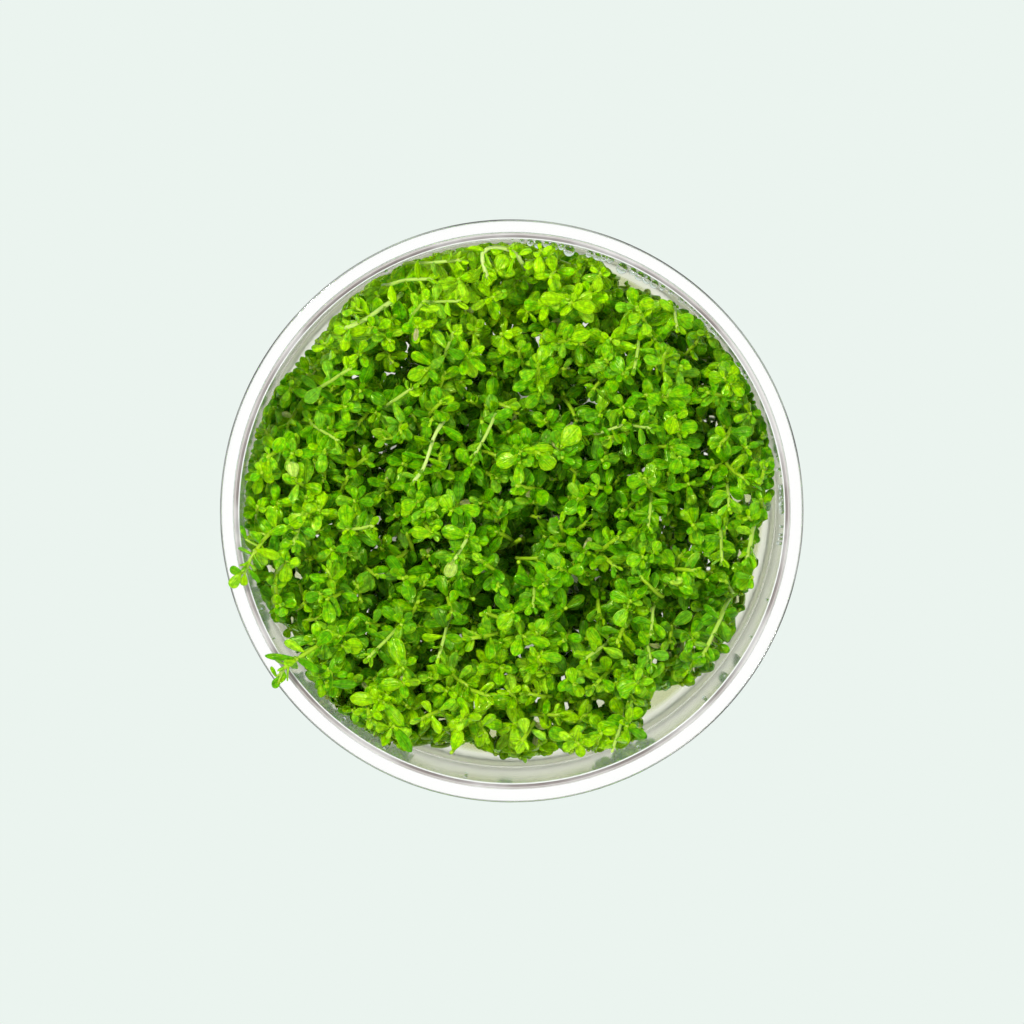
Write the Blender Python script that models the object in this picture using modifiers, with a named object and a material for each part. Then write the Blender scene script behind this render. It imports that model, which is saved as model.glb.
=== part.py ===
"""A cup of rotala h'ra from tissue culture: a clear round cup with a flat rim, a
bed of nutrient gel, and leafy sprigs that stand in the gel and fill the cup.

The origin is the centre of the cup's underside, with +Z up. +X points to the
right of the reference view from above, and +Y to its top.
"""

import math
import random

import bmesh
import bpy
from mathutils import Matrix, Vector
from mathutils.bvhtree import BVHTree
from mathutils.geometry import interpolate_bezier

MM = 0.001
CLEARANCE = 0.3 * MM
MERGE_DISTANCE = 0.01 * MM

# The cup.
CUP_HEIGHT = 50 * MM
RIM_RADIUS = 50 * MM
RIM_THICKNESS = 1.1 * MM
RIM_EDGE_ROUND = 0.4 * MM
MOUTH_ROUND = 0.2 * MM
WALL_TOP_RADIUS = 46.65 * MM
WALL_FOOT_RADIUS = 45.85 * MM
WALL_THICKNESS = 0.9 * MM
FLOOR_THICKNESS = 1.2 * MM
INNER_FOOT_ROUND = 2.6 * MM
OUTER_FOOT_ROUND = 0.8 * MM
TURNING_STEPS = 40

# The nutrient gel.
GEL_LEVEL = 13 * MM
MENISCUS_RISE = 0.5 * MM
MENISCUS_WIDTH = 1.2 * MM

# The bed of sprigs: their feet lie on a sunflower spiral in the gel, and their
# tips lean outward and stray a little.
SPRIG_COUNT = 52
BED_RADIUS = 42 * MM
TIP_REACH = 43.4 * MM
BED_SHIFT = Vector((-0.3 * MM, 1.2 * MM, 0))
GOLDEN_ANGLE = math.radians(137.50776)
PLANTING_DEPTH = 3 * MM
LOWEST_TIP = 42 * MM
HIGHEST_TIP = 48 * MM
OUTWARD_LEAN = 1.08
STRAY = 1.8 * MM
SEED = 11

# One sprig: a square stem with opposite pairs of leaves, listed upwards. Every
# other sprig lacks the lowest pair.
STEM_WIDTH = 0.85 * MM
STEM_POINTS = 33
STEM_LOOK_BACK = 0.05
LOW_HANDLE_SHARE = 0.35
HIGH_HANDLE_SHARE = 0.72
NODE_HEIGHT = 0.02
NODE_SHARES = (0.50, 0.69, 0.85, 0.98)
NODE_TWIST = math.radians(24)
LEAF_LENGTHS = (5.2 * MM, 5.9 * MM, 6.0 * MM, 4.6 * MM)
LEAF_RISES = (math.radians(6), math.radians(12), math.radians(20), math.radians(42))
LEAF_WIDTH_SHARE = 0.56
LEAF_SHOULDER_SHARE = 0.58
LEAF_TIP_WIDTH_SHARE = 0.5
LEAF_THICKNESS = 0.5 * MM
TIP_DROOP = 0.5 * MM

# How a leaf near the wall turns up, and how a sprig turns and shrinks until
# it stands clear of its neighbours.
STEEPEST_LEAF = math.radians(78)
RISE_STEP = math.radians(6)
TURN_STEP = math.radians(13)
TURNS_PER_SIZE = 8
SHRINK_STEP = 0.04
MOST_TRIES = 72

# Two of the sprigs hang out over the rim. Each is given by the two handles of
# its curve and by its tip, in millimetres.
OVERHANGING_SPRIGS = {
    33: ((-28.0, -20.5, 36), (-31.5, -21.5, 54), (-39.0, -26.8, 52.6)),
    38: ((-37.5, -3.0, 36), (-40.5, 0.0, 54), (-45.4, -9.4, 52.4)),
}
OVERHANG_SHARES = (0.40, 0.60, 0.80, 0.98)
OVERHANG_LENGTHS = (4.4 * MM, 4.0 * MM, 3.6 * MM, 3.3 * MM)

# Plain colours. Each sprig's green lies between the deep and the bright one.
PLASTIC_COLOUR = (0.95, 0.96, 0.96)
GEL_COLOUR = (0.86, 0.85, 0.72)
DEEP_GREEN = Vector((0.08, 0.30, 0.015))
BRIGHT_GREEN = Vector((0.18, 0.46, 0.015))


def clear_scene():
    for old in list(bpy.data.objects):
        bpy.data.objects.remove(old)


def new_collection(name):
    collection = bpy.data.collections.new(name)
    bpy.context.scene.collection.children.link(collection)
    return collection


def plain_material(name, colour, roughness, transmission, ior):
    material = bpy.data.materials.new(name)
    material.use_nodes = True
    shader = material.node_tree.nodes["Principled BSDF"]
    shader.inputs["Base Color"].default_value = (*colour, 1)
    shader.inputs["Roughness"].default_value = roughness
    shader.inputs["Metallic"].default_value = 0
    shader.inputs["Transmission Weight"].default_value = transmission
    shader.inputs["IOR"].default_value = ior
    return material


def clear_plastic():
    return plain_material("clear plastic", PLASTIC_COLOUR, roughness=0.04, transmission=1.0, ior=1.49)


def pale_gel():
    return plain_material("pale gel", GEL_COLOUR, roughness=0.12, transmission=0.8, ior=1.34)


def leaf_green(index):
    colour = DEEP_GREEN.lerp(BRIGHT_GREEN, random.Random(index).random())
    name = f"leaf green {index:02d}"
    return plain_material(name, colour, roughness=0.35, transmission=0, ior=1.45)


def mesh_object(name, bm, collection, material):
    mesh = bpy.data.meshes.new(name)
    bm.to_mesh(mesh)
    bm.free()
    mesh.materials.append(material)
    made = bpy.data.objects.new(name, mesh)
    collection.objects.link(made)
    return made


def turned(name, profile, collection, material):
    """A solid of revolution. The profile is (radius, height) pairs that start
    on the axis, go over the top and down the outer side, and end on the axis."""
    bm = bmesh.new()
    verts = [bm.verts.new((radius, 0, height)) for radius, height in profile]
    for one, other in zip(verts, verts[1:]):
        bm.edges.new((one, other))
    made = mesh_object(name, bm, collection, material)
    screw = made.modifiers.new("Turn", "SCREW")
    screw.axis = "Z"
    screw.steps = TURNING_STEPS
    screw.render_steps = TURNING_STEPS
    screw.use_merge_vertices = True
    screw.merge_threshold = MERGE_DISTANCE
    screw.use_smooth_shade = True
    return made


def inner_foot(radius, height):
    """The rounded corner between a floor and a wall, as a profile that goes up
    from the floor at that height to the wall at that radius."""
    middle = Vector((radius - INNER_FOOT_ROUND, height + INNER_FOOT_ROUND))
    directions = ((0, -1), (math.sqrt(0.5), -math.sqrt(0.5)), (1, 0))
    return [middle + Vector(direction) * INNER_FOOT_ROUND for direction in directions]


def wall_radius(height):
    """Inner radius of the cup's drafted wall at a height."""
    foot = FLOOR_THICKNESS + INNER_FOOT_ROUND
    share = (height - foot) / (CUP_HEIGHT - foot)
    return WALL_FOOT_RADIUS + share * (WALL_TOP_RADIUS - WALL_FOOT_RADIUS)


def make_cup(collection):
    outer_top = WALL_TOP_RADIUS + WALL_THICKNESS
    outer_foot = WALL_FOOT_RADIUS + WALL_THICKNESS
    rim_under = CUP_HEIGHT - RIM_THICKNESS
    profile = [
        (0, FLOOR_THICKNESS),
        *inner_foot(WALL_FOOT_RADIUS, FLOOR_THICKNESS),
        (WALL_TOP_RADIUS, CUP_HEIGHT - MOUTH_ROUND),
        (WALL_TOP_RADIUS + MOUTH_ROUND, CUP_HEIGHT),
        (RIM_RADIUS - RIM_EDGE_ROUND, CUP_HEIGHT),
        (RIM_RADIUS, CUP_HEIGHT - RIM_EDGE_ROUND),
        (RIM_RADIUS, rim_under + RIM_EDGE_ROUND),
        (RIM_RADIUS - RIM_EDGE_ROUND, rim_under),
        (outer_top, rim_under),
        (outer_foot, OUTER_FOOT_ROUND),
        (outer_foot - OUTER_FOOT_ROUND, 0),
        (0, 0),
    ]
    return turned("culture_cup", profile, collection, clear_plastic())


def make_gel(collection, cutters, pits):
    """The gel fills the cup's foot and turns up a little at the wall. It has a
    pit for the foot of each sprig, given as the pit's place and direction."""
    top = wall_radius(GEL_LEVEL) - CLEARANCE
    foot = FLOOR_THICKNESS + CLEARANCE
    profile = [
        (0, GEL_LEVEL),
        (top - MENISCUS_WIDTH, GEL_LEVEL),
        (top, GEL_LEVEL + MENISCUS_RISE),
        *reversed(inner_foot(WALL_FOOT_RADIUS - CLEARANCE, foot)),
        (0, foot),
    ]
    gel = turned("nutrient_gel", profile, collection, pale_gel())
    width = STEM_WIDTH + 2 * CLEARANCE
    length = 2 * (PLANTING_DEPTH + CLEARANCE)
    shape = Matrix.Diagonal((width, width, length, 1))
    bm = bmesh.new()
    for pit in pits:
        bmesh.ops.create_cube(bm, size=1, matrix=pit @ shape)
    cutter = mesh_object("gel_pit_cutter", bm, cutters, gel.data.materials[0])
    cutter.hide_render = True
    cutter.display_type = "WIRE"
    cut = gel.modifiers.new("Pits", "BOOLEAN")
    cut.operation = "DIFFERENCE"
    cut.solver = "EXACT"
    cut.object = cutter


class Stem:
    """A sprig's centre line, read by its share of the way from foot to tip, with
    the shares of its nodes and the lengths and rises of the leaves there."""

    def __init__(self, curve, shares, lengths, rises):
        self.points = interpolate_bezier(*curve, STEM_POINTS)
        self.shares = shares
        self.lengths = lengths
        self.rises = rises
        self.start = (self.place(shares[0]) - self.points[0]).normalized()

    def place(self, share):
        step = share * (len(self.points) - 1)
        index = min(int(step), len(self.points) - 2)
        return self.points[index].lerp(self.points[index + 1], step - index)

    def direction(self, share):
        """The direction of growth, which is straight up to the first node."""
        if share == 0:
            return self.start
        return (self.place(share) - self.place(share - STEM_LOOK_BACK)).normalized()

    def section(self, share, turn):
        """Takes a section drawn round the Z axis to its place on the stem."""
        lean = Vector((0, 0, 1)).rotation_difference(self.direction(share))
        spin = Matrix.Rotation(turn, 4, "Z")
        return Matrix.Translation(self.place(share)) @ lean.to_matrix().to_4x4() @ spin


def straight_stem(bm, shares, half_width):
    """A straight square stem up the Z axis, whose height counts in shares. The
    result is the pair of opposite faces at each node that the leaves grow from."""
    shape = Matrix.Diagonal((2 * half_width, 2 * half_width, shares[0], 1))
    lift = Matrix.Translation((0, 0, shares[0] / 2))
    bmesh.ops.create_cube(bm, size=1, matrix=lift @ shape)
    top = max(bm.faces, key=lambda face: face.calc_center_median().z)
    pairs = []
    for node, share in enumerate(shares):
        if node:
            top = bmesh.ops.extrude_discrete_faces(bm, faces=[top])["faces"][0]
            raised = share - shares[node - 1] - NODE_HEIGHT
            bmesh.ops.translate(bm, vec=(0, 0, raised), verts=top.verts)
            twist = Matrix.Rotation(NODE_TWIST, 3, "Z")
            bmesh.ops.rotate(bm, cent=(0, 0, 0), matrix=twist, verts=top.verts)
        top = bmesh.ops.extrude_discrete_faces(bm, faces=[top])["faces"][0]
        bmesh.ops.translate(bm, vec=(0, 0, NODE_HEIGHT), verts=top.verts)
        sides = {face for edge in top.edges for face in edge.link_faces} - {top}
        angle = node * (NODE_TWIST + math.pi / 2)
        facing = Vector((math.cos(angle), math.sin(angle), 0))
        ordered = sorted(sides, key=lambda face: middle_of(face).dot(facing))
        pairs.append((ordered[0], ordered[-1]))
    return pairs


def middle_of(face):
    return face.calc_center_median()


def set_leaf_section(face, centre, across, up, width, thickness):
    """Moves a four-cornered face to a leaf's cross-section."""
    middle = middle_of(face)
    for vert in face.verts:
        offset = vert.co - middle
        side = math.copysign(width / 2, offset.dot(across))
        level = math.copysign(thickness / 2, offset.dot(up))
        vert.co = centre + across * side + up * level


def grow_leaf(bm, face, direction, growth, length, swell):
    """Pulls a node's face out into a leaf that is widest at its shoulder and
    ends in a short thin edge. Growth is the direction of the stem there."""
    base = middle_of(face)
    across = direction.cross(growth).normalized()
    up = across.cross(direction)
    width = length * LEAF_WIDTH_SHARE + swell
    shoulder = bmesh.ops.extrude_discrete_faces(bm, faces=[face])["faces"][0]
    centre = base + direction * length * LEAF_SHOULDER_SHARE
    set_leaf_section(shoulder, centre, across, up, width, LEAF_THICKNESS + swell)
    tip = bmesh.ops.extrude_discrete_faces(bm, faces=[shoulder])["faces"][0]
    centre = base + direction * (length + swell / 2) - up * TIP_DROOP
    set_leaf_section(tip, centre, across, up, width * LEAF_TIP_WIDTH_SHARE, 0)
    bmesh.ops.remove_doubles(bm, verts=tip.verts[:], dist=MERGE_DISTANCE)


def leaf_direction(base, outward, growth, length, rise):
    """The direction of a leaf, turned up until its tip and its shoulder stay
    inside the cup."""
    half_across = outward.cross(growth) * length * LEAF_WIDTH_SHARE / 2
    while True:
        direction = outward * math.cos(rise) + growth * math.sin(rise)
        tip = base + direction * length
        shoulder = base + direction * length * LEAF_SHOULDER_SHARE
        corners = (tip, shoulder - half_across, shoulder + half_across)
        reach = max(corner.xy.length for corner in corners)
        limit = wall_radius(tip.z) if tip.z < CUP_HEIGHT else RIM_RADIUS
        if reach < limit - 2 * CLEARANCE or rise > STEEPEST_LEAF:
            return direction
        rise += RISE_STEP


def grow_sprig(stem, turn, size, swell=0.0):
    """A stem with a pair of leaves at each node, as a bmesh. Each pair stands
    across the pair below it. Swell thickens the sprig all round."""
    bm = bmesh.new()
    pairs = straight_stem(bm, stem.shares, (STEM_WIDTH + swell) / 2)
    for vert in bm.verts:
        share = vert.co.z
        vert.co = stem.section(share, turn) @ Vector((vert.co.x, vert.co.y, 0))
    for node, pair in enumerate(pairs):
        place = stem.place(stem.shares[node] + NODE_HEIGHT / 2)
        growth = stem.direction(stem.shares[node])
        length = stem.lengths[node] * size
        for face in pair:
            base = middle_of(face)
            outward = base - place
            outward = (outward - growth * outward.dot(growth)).normalized()
            direction = leaf_direction(base, outward, growth, length, stem.rises[node])
            grow_leaf(bm, face, direction, growth, length, swell)
    bmesh.ops.recalc_face_normals(bm, faces=bm.faces[:])
    return bm


def touches_itself(bm, tree):
    bm.faces.ensure_lookup_table()
    for one, other in tree.overlap(tree):
        shared = set(bm.faces[one].verts) & set(bm.faces[other].verts)
        if not shared:
            return True
    return False


def free_sprig(stem, first_turn, obstacles):
    """Grows a sprig that stands clear of everything grown before it. It turns
    about its stem, and shrinks a little, until it does."""
    for attempt in range(MOST_TRIES):
        turn = first_turn + attempt * TURN_STEP
        size = 1 - SHRINK_STEP * (attempt // TURNS_PER_SIZE)
        swollen = grow_sprig(stem, turn, size, swell=2 * CLEARANCE)
        tree = BVHTree.FromBMesh(swollen)
        blocked = touches_itself(swollen, tree) or any(map(tree.overlap, obstacles))
        swollen.free()
        if not blocked:
            return grow_sprig(stem, turn, size), turn
    raise RuntimeError("a sprig finds no free place in the cup")


def foot_place(index):
    """The foot of a sprig on the spiral, as seen from above."""
    radius = BED_RADIUS * math.sqrt((index + 0.5) / SPRIG_COUNT)
    angle = index * GOLDEN_ANGLE
    return Vector((radius * math.cos(angle), radius * math.sin(angle), 0))


def bed_stem(index):
    """A sprig that leans outward and strays a little."""
    draw = random.Random(1000 * SEED + index)
    spread = foot_place(index)
    height = Vector((0, 0, draw.uniform(LOWEST_TIP, HIGHEST_TIP)))
    tip_stray = Vector((draw.uniform(-STRAY, STRAY), draw.uniform(-STRAY, STRAY), 0))
    middle_stray = Vector((draw.uniform(-STRAY, STRAY), draw.uniform(-STRAY, STRAY), 0))
    foot = spread + Vector((0, 0, GEL_LEVEL - PLANTING_DEPTH))
    tip = spread * OUTWARD_LEAN + BED_SHIFT + tip_stray
    tip = tip * min(1, TIP_REACH / tip.length) + height
    low_handle = foot.lerp(tip, LOW_HANDLE_SHARE) + middle_stray
    high_handle = foot.lerp(tip, HIGH_HANDLE_SHARE) + middle_stray / 2
    lowest = index % 2
    curve = (foot, low_handle, high_handle, tip)
    return Stem(curve, NODE_SHARES[lowest:], LEAF_LENGTHS[lowest:], LEAF_RISES[lowest:])


def overhanging_stem(index):
    foot = foot_place(index) + Vector((0, 0, GEL_LEVEL - PLANTING_DEPTH))
    curve = [foot] + [Vector(point) * MM for point in OVERHANGING_SPRIGS[index]]
    return Stem(curve, OVERHANG_SHARES, OVERHANG_LENGTHS, LEAF_RISES)


def make_sprigs(collection, cup):
    """Makes the sprigs, and returns the place and direction of their pits."""
    depsgraph = bpy.context.evaluated_depsgraph_get()
    obstacles = [BVHTree.FromObject(cup, depsgraph)]
    pits = []
    overhanging_first = sorted(range(SPRIG_COUNT), key=lambda index: index not in OVERHANGING_SPRIGS)
    for index in overhanging_first:
        stem = overhanging_stem(index) if index in OVERHANGING_SPRIGS else bed_stem(index)
        bm, turn = free_sprig(stem, index * GOLDEN_ANGLE, obstacles)
        obstacles.append(BVHTree.FromBMesh(bm))
        mesh_object(f"sprig_{index + 1:02d}", bm, collection, leaf_green(index))
        rise = Matrix.Translation((0, 0, PLANTING_DEPTH))
        pits.append(stem.section(0, turn) @ rise)
    return pits


def main():
    clear_scene()
    parts = new_collection("rotala_hra_cup")
    cutters = new_collection("cutters")
    cup = make_cup(parts)
    pits = make_sprigs(parts, cup)
    make_gel(parts, cutters, pits)


main()
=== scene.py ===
"""The looks of a cup of rotala h'ra from tissue culture: the clear cup with drops on its
wall, the gel with roots, and leafy shoots on every sprig, seen from straight above.
"""

import math
import random

import bpy
import numpy as np
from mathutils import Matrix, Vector
from mathutils.geometry import interpolate_bezier
from numpy.linalg import norm


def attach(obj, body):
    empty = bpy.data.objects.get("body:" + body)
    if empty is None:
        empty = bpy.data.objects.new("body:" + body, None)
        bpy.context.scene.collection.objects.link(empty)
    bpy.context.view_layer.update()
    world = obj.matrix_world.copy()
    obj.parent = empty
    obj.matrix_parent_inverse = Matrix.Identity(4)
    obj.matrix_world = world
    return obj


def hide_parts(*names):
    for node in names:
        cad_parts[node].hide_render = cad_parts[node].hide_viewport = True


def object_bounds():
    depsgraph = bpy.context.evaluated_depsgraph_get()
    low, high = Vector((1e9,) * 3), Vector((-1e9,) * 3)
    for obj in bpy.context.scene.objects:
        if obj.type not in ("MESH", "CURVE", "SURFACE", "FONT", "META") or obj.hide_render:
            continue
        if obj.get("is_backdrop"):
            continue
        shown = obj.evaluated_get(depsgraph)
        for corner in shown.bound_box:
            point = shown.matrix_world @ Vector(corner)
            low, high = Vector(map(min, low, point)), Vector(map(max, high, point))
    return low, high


MM = 0.001
UP = np.array((0.0, 0.0, 1.0))

# The cup and the gel, as in the part's source.
CUP_HEIGHT = 50 * MM
RIM_RADIUS = 50 * MM
RIM_THICKNESS = 1.1 * MM
RIM_EDGE_ROUND = 0.4 * MM
MOUTH_ROUND = 0.2 * MM
WALL_TOP_RADIUS = 46.65 * MM
WALL_FOOT_RADIUS = 45.85 * MM
WALL_THICKNESS = 0.9 * MM
FLOOR_THICKNESS = 1.2 * MM
INNER_FOOT_ROUND = 2.6 * MM
OUTER_FOOT_ROUND = 0.8 * MM
GEL_LEVEL = 13 * MM
MENISCUS_RISE = 0.5 * MM
MENISCUS_WIDTH = 1.2 * MM

# Their finer form here. The foot's curve has short flats beside its arc, and with
# them it is about as wide as the inner foot round.
TURNING_STEPS = 180
UNDER_RIM_ROUND = 0.3 * MM
FOOT_CURVE = 2.2 * MM
FLAT_SHARE = 0.15
GEL_GAP = 0.05 * MM
GEL_RING = 1.5 * MM
MENISCUS_STEPS = 6

# The main stems, as in the part's source.
SPRIG_COUNT = 52
BED_RADIUS = 42 * MM
TIP_REACH = 43.4 * MM
BED_SHIFT = np.array((-0.3, 1.2, 0)) * MM
GOLDEN_ANGLE = math.radians(137.50776)
PLANTING_DEPTH = 3 * MM
LOWEST_TIP = 42 * MM
HIGHEST_TIP = 48 * MM
OUTWARD_LEAN = 1.08
STRAY = 1.8 * MM
SEED = 11
LOW_HANDLE_SHARE = 0.35
HIGH_HANDLE_SHARE = 0.72
OVERHANGING_SPRIGS = {
    33: ((-28.0, -20.5, 36), (-31.5, -21.5, 54), (-39.0, -26.8, 52.6)),
    38: ((-37.5, -3.0, 36), (-40.5, 0.0, 54), (-45.4, -9.4, 52.4)),
}

# The camera looks down from above the rim, a little off the vertical. The width of
# its view and the size of a pixel are taken at the rim's height.
CAMERA_DISTANCE = 2.0
CAMERA_TILT = math.radians(2.2)
CAMERA_TARGET = (0.04 * MM, -0.13 * MM, CUP_HEIGHT)
VIEW_WIDTH = 0.1754
SENSOR_WIDTH = 36
PICTURE_MIDDLE = (511.75, 511.26)
PIXEL = MM / 5.838

# The side shoots, the stems and the roots.
HIGH_SHOOT_COUNT = 360
EDGE_SHOOT_COUNT = 44
LOW_SHOOT_COUNT = 470
TRIES_PER_TIP = 30
TIP_MARGIN = 1.6 * MM
HIGH_TIPS = (37 * MM, 48.8 * MM)
LOW_TIPS = (20 * MM, 37 * MM)
STEM_STEP = 1.4 * MM
STEM_FOOT_RADIUS = 0.46 * MM
STEM_TIP_RADIUS = 0.30 * MM
STEM_SIDES = 6
NODE_SWELLING = 0.22
ROOTS_PER_SPRIG = 4

# The leaf pairs, listed downwards from a shoot's tip: the distance from the tip in
# millimetres, the leaf's length in millimetres and its angle from the stem in degrees.
LEAF_PAIRS = (
    (0.1, 1.4, 24), (0.8, 2.4, 42), (2.4, 3.3, 56), (4.8, 3.8, 66), (7.8, 4.1, 74),
    (11.2, 4.1, 80), (14.8, 4.1, 84), (18.6, 4.0, 88), (22.6, 3.9, 92),
)
LOW_LEAF_PAIRS = ((0.2, 2.6, 42), (1.0, 3.9, 70), (2.4, 4.4, 80), (4.8, 4.4, 84))
LOWEST_LEAF = 14.5 * MM
PLAIN_LEAF_HEIGHT = 36.5 * MM
PLAIN_LEAF_REACH = 37 * MM
FOLIAGE_RADIUS = 45 * MM
HIGHEST_LEAF = 51 * MM
OVERHANG_HEIGHT = 52.5 * MM
OVERHANG_TOP = 55.6 * MM
OVERHANG_REACH = 60 * MM
LEAF_TRIES = 9

# What it costs a leaf to stand above the foliage's roof, or a millimetre outside its
# reach, and the costs at which one is good enough or left out.
ABOVE_COST = 3
OUTSIDE_COST = 400
GOOD_COST = 0.05
WORST_COST = 0.45
WORST_TIP_COST = 0.8

# The cells of the cup's room that leaves take up, and the finer columns seen from above.
CELL = 0.7 * MM
FINE_CELL = 0.26 * MM
GRID_HALF = 52 * MM
ROOM_HEIGHT = 60 * MM

# Hollows in the foliage, as (across, up, radius, depth), and holes through it, as
# (across, up, radius), in millimetres from the middle as seen from above.
HOLLOWS = (
    (2.4, -2.9, 4.2, 24), (0.6, -7.7, 3.0, 20), (-22.1, -13.8, 2.6, 18), (-20.9, 1.9, 2.6, 14),
    (-18.6, -5.4, 3.0, 16), (-15.0, -8.0, 2.4, 14), (-6.3, 16.7, 2.6, 18), (8.6, 20.4, 2.8, 16),
    (-2.7, 31.2, 2.6, 16), (-21.9, 22.3, 2.6, 14), (26.8, -15.9, 2.8, 18), (27.8, -3.0, 2.6, 14),
    (-6.0, -15.0, 2.8, 16), (16.0, 33.6, 2.4, 14), (11.2, -17.4, 2.8, 14), (7.2, 6.0, 2.4, 14),
)
HOLES = (
    (-41.4, -9.7, 0.8), (-36.8, -11.1, 0.5), (-37.5, -18.6, 0.8), (-38.9, -19.8, 0.8),
    (-37.3, -21.1, 0.8), (-33.8, -22.9, 0.6), (-32.0, -24.6, 0.8), (-35.6, -25.3, 0.8),
    (-30.3, -27.2, 0.6), (-28.9, -28.9, 0.7), (-26.3, -30.6, 0.7), (-28.9, -32.3, 0.9),
    (-15.2, -34.7, 0.7), (-11.6, -35.8, 0.9), (-16.6, -37.6, 0.6), (-20.3, -39.3, 0.7),
    (-7.8, -37.5, 0.5), (-3.4, -38.3, 0.6), (10.8, -20.0, 0.8), (8.9, -28.8, 0.5),
    (16.9, -28.2, 0.6), (21.2, -25.5, 0.5), (24.6, -25.7, 0.5), (4.2, -31.6, 0.8),
    (9.5, -33.1, 1.1), (14.9, -32.8, 0.9), (3.9, -35.5, 0.9), (-1.2, -35.7, 0.7),
    (3.1, -38.3, 0.6), (17.1, -34.7, 0.5), (33.9, 15.5, 1.1), (33.6, 26.3, 0.9),
    (32.8, 29.4, 0.5), (41.4, 12.4, 0.6), (38.2, 2.2, 0.5), (40.5, 2.3, 0.7),
    (37.6, -3.8, 0.8), (39.9, -4.7, 0.8), (38.9, -7.0, 0.5), (33.4, -9.7, 0.8),
    (38.7, -15.5, 1.2), (28.8, -20.2, 0.5), (28.9, -23.0, 0.7), (26.8, -27.7, 0.8),
    (31.1, -27.1, 0.6), (-26.9, 22.9, 0.5), (-29.6, 20.8, 0.6), (-20.4, 10.6, 0.6),
    (18.9, 38.6, 0.9), (12.5, 41.5, 0.5), (16.5, 40.0, 0.5), (2.1, 43.2, 0.5),
    (-10.7, 7.4, 0.5), (1.6, -4.0, 0.4), (11.0, -11.4, 0.5), (9.9, -8.0, 0.4),
)

# How far the foliage reaches, by its compass direction in degrees, in millimetres.
REACH = (
    (-180, 46.2), (-165, 45.8), (-155, 45.3), (-148, 44.8), (-137, 45.8), (-125, 46.2),
    (-116, 46.0), (-110, 43.0), (-100, 42.3), (-90, 43.4), (-82, 43.3), (-74, 44.2),
    (-66, 45.0), (-60, 45.4), (-56, 42.6), (-50, 41.0), (-44, 43.5), (-32, 45.0), (-20, 43.4),
    (-8, 43.8), (0, 44.8), (12, 46.0), (45, 46.2), (55, 45.2), (62, 44.6), (70, 45.6),
    (80, 46.2), (100, 46.3), (120, 46.2), (135, 45.2), (147, 45.3), (160, 46.2), (180, 46.2),
)

# The lowest and highest of the listed leaves and stems, in millimetres. A
# stem lies on top of the foliage where it is above the lying height.
TOP_LEAF_HEIGHTS = (46.6, 48.4)
BARE_STEM_HEIGHTS = (45.5, 48.6)
LYING_HEIGHT = 44.5 * MM

# Stems that lie bare on top: their width in pixels, their paleness from 0 to 1, and the
# places that they pass, across and down the picture, from the foot to the tip.
BARE_STEMS = (
    (5.0, 0.6, ((395, 299), (379, 310), (363, 321), (346, 328))),
    (4.8, 1.0, ((521, 262), (515, 253), (498, 247), (485, 250), (482, 258), (487, 277))),
    (4.2, 0.9, ((441, 425), (434, 437), (424, 467), (414, 481))),
    (3.6, 0.6, ((493, 420), (485, 437), (475, 454))),
    (4.0, 0.7, ((468, 537), (461, 549), (455, 559))),
    (3.2, 0.7, ((600, 433), (611, 429), (622, 425))),
    (3.0, 0.6, ((635, 426), (650, 428))),
    (3.4, 0.4, ((638, 348), (634, 370))),
    (3.2, 0.7, ((675, 314), (677, 328))),
    (5.0, 0.4, ((752, 532), (750, 546), (747, 558))),
    (3.4, 0.3, ((728, 491), (729, 508))),
    (3.4, 0.3, ((721, 537), (722, 562))),
    (4.4, 0.3, ((720, 620), (707, 647), (703, 656))),
    (3.2, 0.3, ((651, 502), (648, 527))),
    (3.2, 0.4, ((653, 611), (652, 623), (651, 635))),
    (3.2, 0.4, ((648, 647), (650, 655), (651, 664))),
    (3.6, 0.5, ((620, 728), (612, 752))),
    (3.4, 0.4, ((602, 647), (585, 659))),
    (3.2, 0.3, ((534, 590), (533, 607))),
    (3.6, 0.5, ((445, 634), (438, 659))),
    (3.6, 0.3, ((392, 634), (368, 658))),
    (4.0, 0.4, ((389, 285), (406, 280), (432, 279))),
    (3.6, 0.4, ((406, 263), (427, 263), (461, 260))),
    (3.4, 0.3, ((413, 314), (425, 300))),
    (3.4, 0.4, ((431, 302), (460, 301))),
    (3.2, 0.3, ((447, 349), (454, 330))),
    (3.4, 0.4, ((392, 402), (412, 388))),
    (3.2, 0.3, ((319, 429), (339, 441))),
    (3.6, 0.3, ((326, 384), (351, 368))),
    (4.0, 0.3, ((349, 530), (373, 526))),
    (4.2, 0.3, ((298, 530), (293, 544))),
)

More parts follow.
